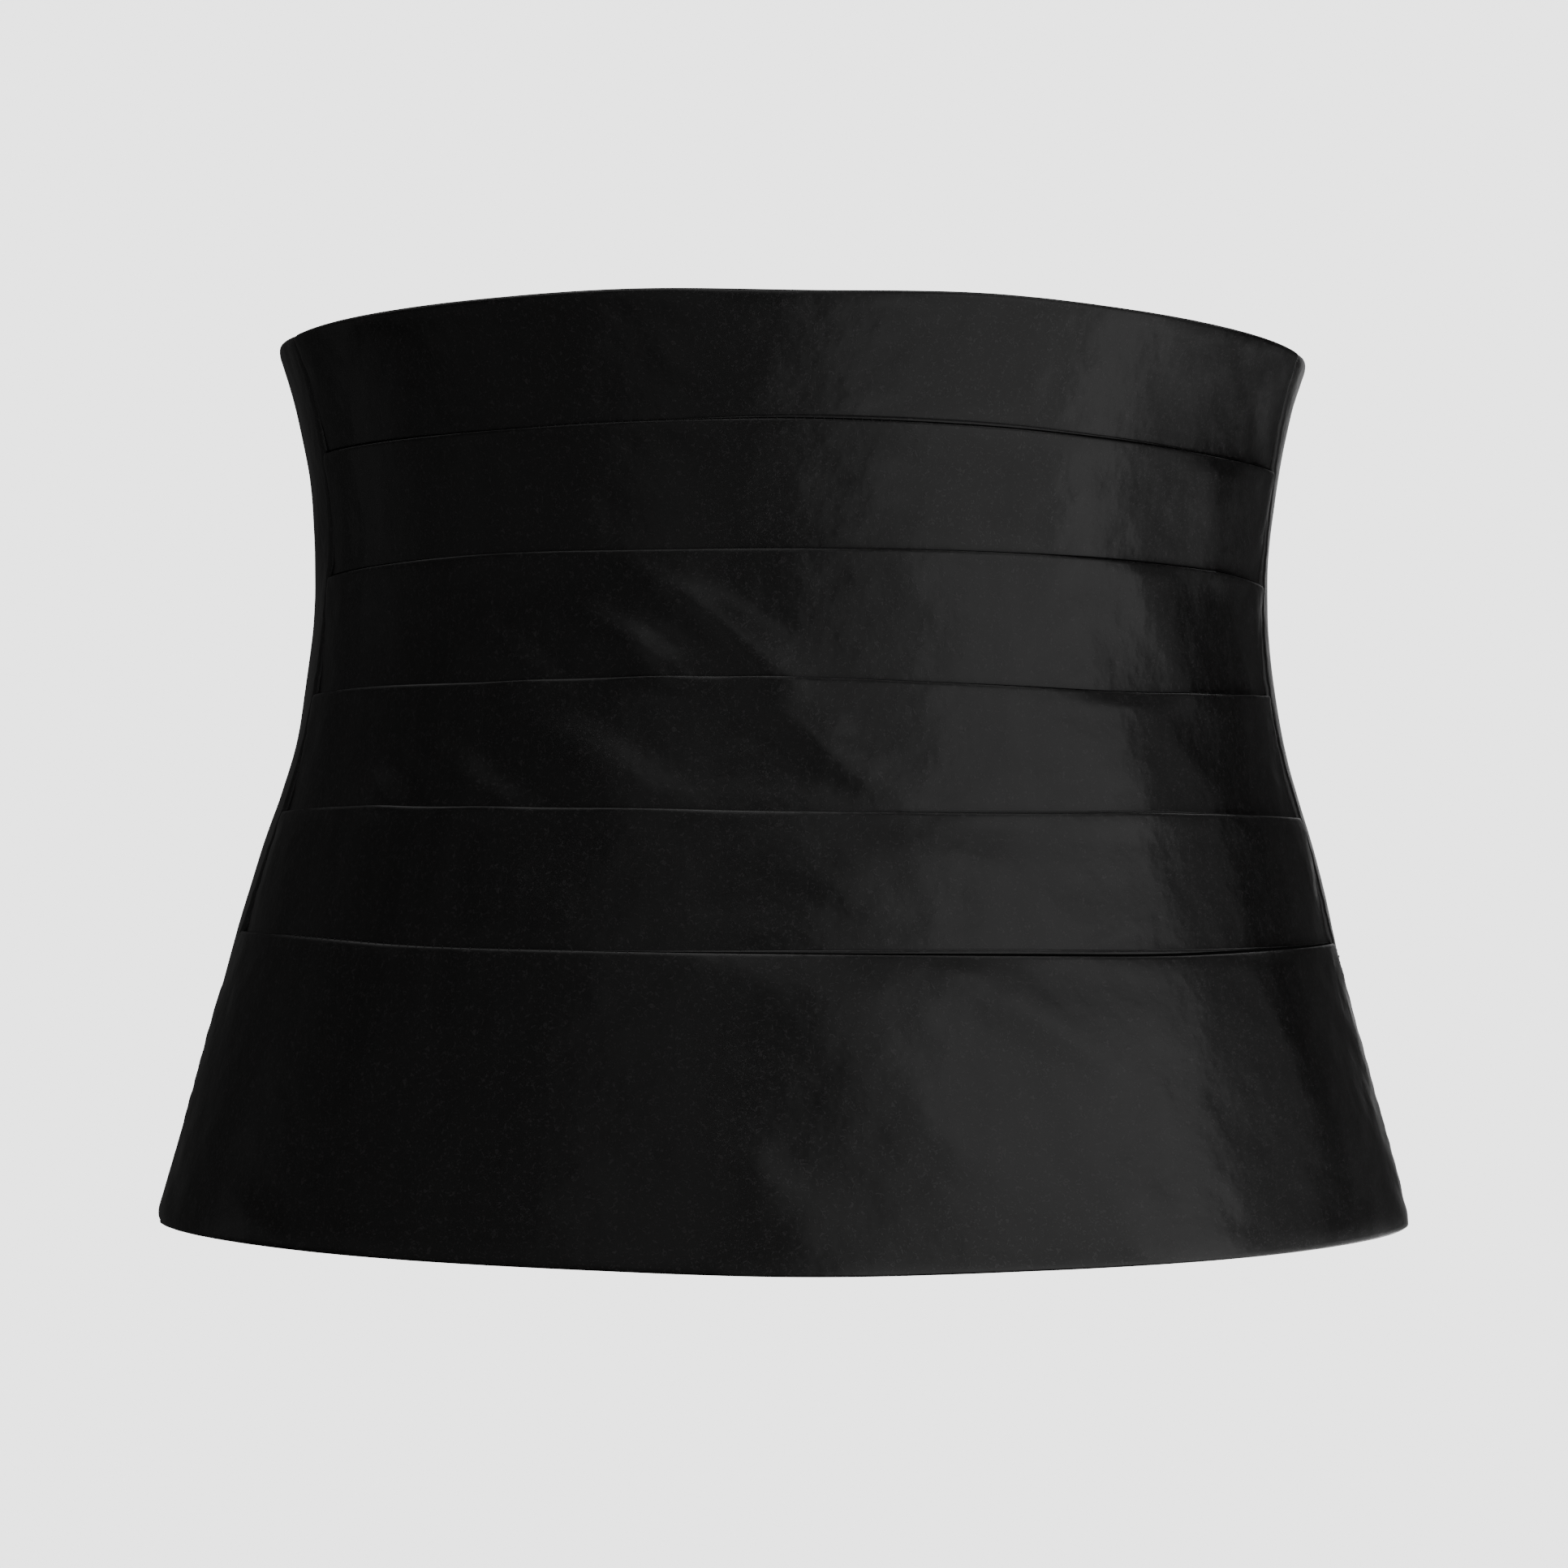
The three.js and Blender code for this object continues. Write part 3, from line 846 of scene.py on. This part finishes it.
def sew(name, turn, z, out, slant, length, thickness, seed):
    """A row of stitches at places on the body, of a length and thickness in mm. slant turns them from
    round the body (0) to up (90)."""
    probe = 0.01
    normal = outward(turn, z)
    along = body_point(turn + probe, z) - body_point(turn - probe, z)
    along = along / np.linalg.norm(along, axis=-1, keepdims=True)
    heading = along * np.cos(np.radians(slant)) + np.cross(normal, along) * np.sin(np.radians(slant))
    points = body_point(turn, z) + normal * out[..., None]
    mesh = bpy.data.meshes.new(name)
    mesh.from_pydata((points * MM).tolist(), [], [])
    for key, vectors in (("heading", heading), ("facing", normal)):
        attribute = mesh.attributes.new(key, "FLOAT_VECTOR", "POINT")
        attribute.data.foreach_set("vector", vectors.ravel().astype(np.float32))
    row = bpy.data.objects.new(name, mesh)
    bpy.context.collection.objects.link(row)
    sewing = row.modifiers.new("sewing", "NODES")
    sewing.node_group = stitch_tree
    values = {"Length": length * MM, "Thickness": thickness * MM, "Seed": seed, "Thread": thread}
    for socket in stitch_tree.interface.items_tree:
        if socket.name in values:
            sewing[socket.identifier] = values[socket.name]
    evaluated = row.evaluated_get(bpy.context.evaluated_depsgraph_get())
    finished = bpy.data.meshes.new_from_object(evaluated)
    row.modifiers.remove(sewing)
    finished.materials.clear()
    finished.materials.append(thread)
    finished.polygons.foreach_set("material_index", np.zeros(len(finished.polygons), np.int32))
    row.data = finished
    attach(row, "root")


OVERCAST_STEP = 1.6
BELOW_FOLD = 1.5  # the row starts this far below each tier's own fold
ABOVE_FOLD = 0.9  # and ends this far above the next one
ABOVE_HEM = 2.5
OVERCAST_SUNK = 0.5  # how deep the stitches lie in the groove of the seam
for hand, word in ((-1, "left"), (1, "right")):
    turns = []
    heights = []
    outs = []
    for tier in range(1, TIERS + 1):
        first = float(edge_height(tier - 1, hand)) - BELOW_FOLD
        last = float(edge_height(tier, hand)) + (ABOVE_FOLD if tier < TIERS else ABOVE_HEM)
        z = np.arange(first, last, -OVERCAST_STEP)
        turn = seam_turn(hand, z)
        turns.append(turn)
        heights.append(z)
        outs.append(tier_lift(tier, hand + 0 * z, z, turn * WAIST_HALF_WIDTH) - OVERCAST_SUNK)
    sew(
        f"overcast_stitches_{word}",
        np.concatenate(turns),
        np.concatenate(heights),
        np.concatenate(outs),
        slant=-12 * hand,
        length=2.3,
        thickness=0.34,
        seed=hand + 2,
    )
PRICK_STEP = 2.1
PRICK_BELOW = 0.12  # below the fold's edge
PRICK_SUNK = 0.22
PRICK_ROWS = ((2, -0.42, 0.12), (6, -0.75, -0.2))  # tier, and the row's ends as sides
for tier, first, last in PRICK_ROWS:
    side = np.arange(first, last, PRICK_STEP / HALF_FRONT)
    z = edge_height(tier - 1, side) - PRICK_BELOW
    turn = side * seam_turn(side, z)
    out = tier_lift(tier, side, z, turn * WAIST_HALF_WIDTH) - PRICK_SUNK
    sew(
        f"prick_stitches_{tier}",
        turn,
        z,
        out,
        slant=90,
        length=0.9,
        thickness=0.3,
        seed=tier,
    )
TAPE_STEP = 3.0
TAPE_ROW = 11  # how far each row runs from centre back
TAPE_ROW_FOOT = 7.7  # the rows start this far above the tape's foot
TAPE_ROW_HEAD = 1.5  # and end this far below its head
TAPE_PROUD = 0.05  # how far the stitches' middles stand out of the tape
for hand, word in ((-1, "left"), (1, "right")):
    z = np.arange(tape_foot + TAPE_ROW_FOOT, tape_head - TAPE_ROW_HEAD, TAPE_STEP)
    turn = np.pi + turn_for(1, np.pi, z) * TAPE_ROW * hand
    out = body_swell(turn * WAIST_HALF_WIDTH, z) - PANEL_INSET - PANEL_CLOTH - STRIP_GAP
    sew(
        f"tape_stitches_{word}",
        turn,
        z,
        out + TAPE_PROUD,
        slant=90,
        length=2.2,
        thickness=0.4,
        seed=9,
    )

# The studio: a pale floor at standing height below the waist, a pale surround, and large soft lights.
# The floor and the surround show as the light grey of a backdrop once the picture is tone mapped.
SEEN_STRENGTH = 3.0
SURROUND_STRENGTH = 0.008  # what the surround adds to the light on the object
FLOOR_BELOW = 1.0
FLOOR_RADIUS = 3.3
bpy.ops.mesh.primitive_circle_add(
    vertices=96,
    radius=FLOOR_RADIUS,
    fill_type="NGON",
    location=(0, 0, -FLOOR_BELOW),
)
floor = bpy.context.object
floor.name = "floor"
pale = bpy.data.materials.new("pale studio floor")
pale.use_nodes = True
paint = pale.node_tree.nodes["Principled BSDF"]
paint.inputs["Base Color"].default_value = linear("#D8D8D8")
paint.inputs["Roughness"].default_value = 0.8
paint.inputs["Emission Color"].default_value = linear("#E3E3E3")
paint.inputs["Emission Strength"].default_value = SEEN_STRENGTH
floor.data.materials.append(pale)
floor.visible_diffuse = False
floor.visible_glossy = False

world = bpy.data.worlds.new("surround")
bpy.context.scene.world = world
world.use_nodes = True
sky = world.node_tree
sky.nodes.clear()
seen = add_node(
    sky,
    "ShaderNodeBackground",
    {"Color": linear("#FFFFFF"), "Strength": SEEN_STRENGTH},
)
dim = add_node(
    sky,
    "ShaderNodeBackground",
    {"Color": linear("#E3E3E3"), "Strength": SURROUND_STRENGTH},
)
rays = add_node(sky, "ShaderNodeLightPath")
either = add_node(
    sky,
    "ShaderNodeMixShader",
    {0: rays.outputs["Is Camera Ray"], 1: dim.outputs[0], 2: seen.outputs[0]},
)
add_node(sky, "ShaderNodeOutputWorld", {"Surface": either.outputs[0]})


def softbox(name, around, up, radiance, away=1.8):
    """A large soft light that faces the object from some metres away and fills a range of directions as
    the object sees them: degrees round from the front towards +X, and degrees up."""
    half_round = np.radians(around[1] - around[0]) / 2
    half_up = np.radians(up[1] - up[0]) / 2
    middle_round = np.radians(sum(around)) / 2
    middle_up = np.radians(sum(up)) / 2
    lamp = bpy.data.lights.new(name, "AREA")
    lamp.shape = "RECTANGLE"
    lamp.size = 2 * away * np.tan(half_round) * np.cos(middle_up)
    lamp.size_y = 2 * away * np.tan(half_up)
    lamp.energy = radiance * np.pi * lamp.size * lamp.size_y
    light = bpy.data.objects.new(name, lamp)
    bpy.context.collection.objects.link(light)
    light.matrix_world = (
        Matrix.Rotation(middle_round, 4, "Z")
        @ Matrix.Rotation(-middle_up, 4, "X")
        @ Matrix.Translation((0, -away, 0))
        @ Matrix.Rotation(np.pi / 2, 4, "X")
    )
    light.visible_camera = False


softbox("main softbox", (20, 50), (-3, 22), 1.38)
softbox("main softbox, near side", (4, 20), (-3, 22), 0.65)
softbox("main softbox, far side", (50, 68), (-20, 20), 1.1)
softbox("main softbox, feathered end", (68, 90), (-20, 20), 0.28)
softbox("low board", (10, 52), (-50, -20), 1.35, away=1.15)
softbox("low board, far end", (52, 88), (-50, -20), 1.26, away=1.15)
softbox("low board, side", (88, 118), (-50, -20), 1.3, away=1.15)
softbox("low board, behind", (118, 146), (-50, -20), 2.6, away=1.15)
softbox("left fill", (-74, -30), (-20, 5), 0.19)
softbox("left fill, far side", (-110, -74), (-20, 5), 0.16)
softbox("left fill, near side", (-30, -10), (-20, 10), 0.33)
softbox("front fill", (-10, 18), (-50, -8), 0.35)
softbox("front fill, above", (-14, 8), (22, 48), 0.55)
softbox("left fill, below", (-74, -14), (-50, -22), 0.12)
softbox("left fill, above", (-74, -14), (8, 48), 0.03)
softbox("right back fill", (112, 146), (-18, 33), 0.035)
softbox("top light", (-80, 0), (50, 80), 1.1)
softbox("top light, right", (50, 72), (45, 80), 2)
softbox("top light, right back", (110, 140), (35, 80), 1.9)
softbox("top light, left back", (-140, -80), (40, 80), 0.75)
softbox("left back fill", (-140, -110), (-50, 20), 0.045)
softbox("left back fill, far side", (-178, -140), (-50, 20), 0.05)
softbox("overhead light", (-45, 40), (74, 88), 3)
softbox("back light", (148, 168), (-35, 35), 0.55)
softbox("back light, high", (165, 215), (35, 75), 1)
softbox("back light, left side", (215, 262), (25, 70), 0.2)
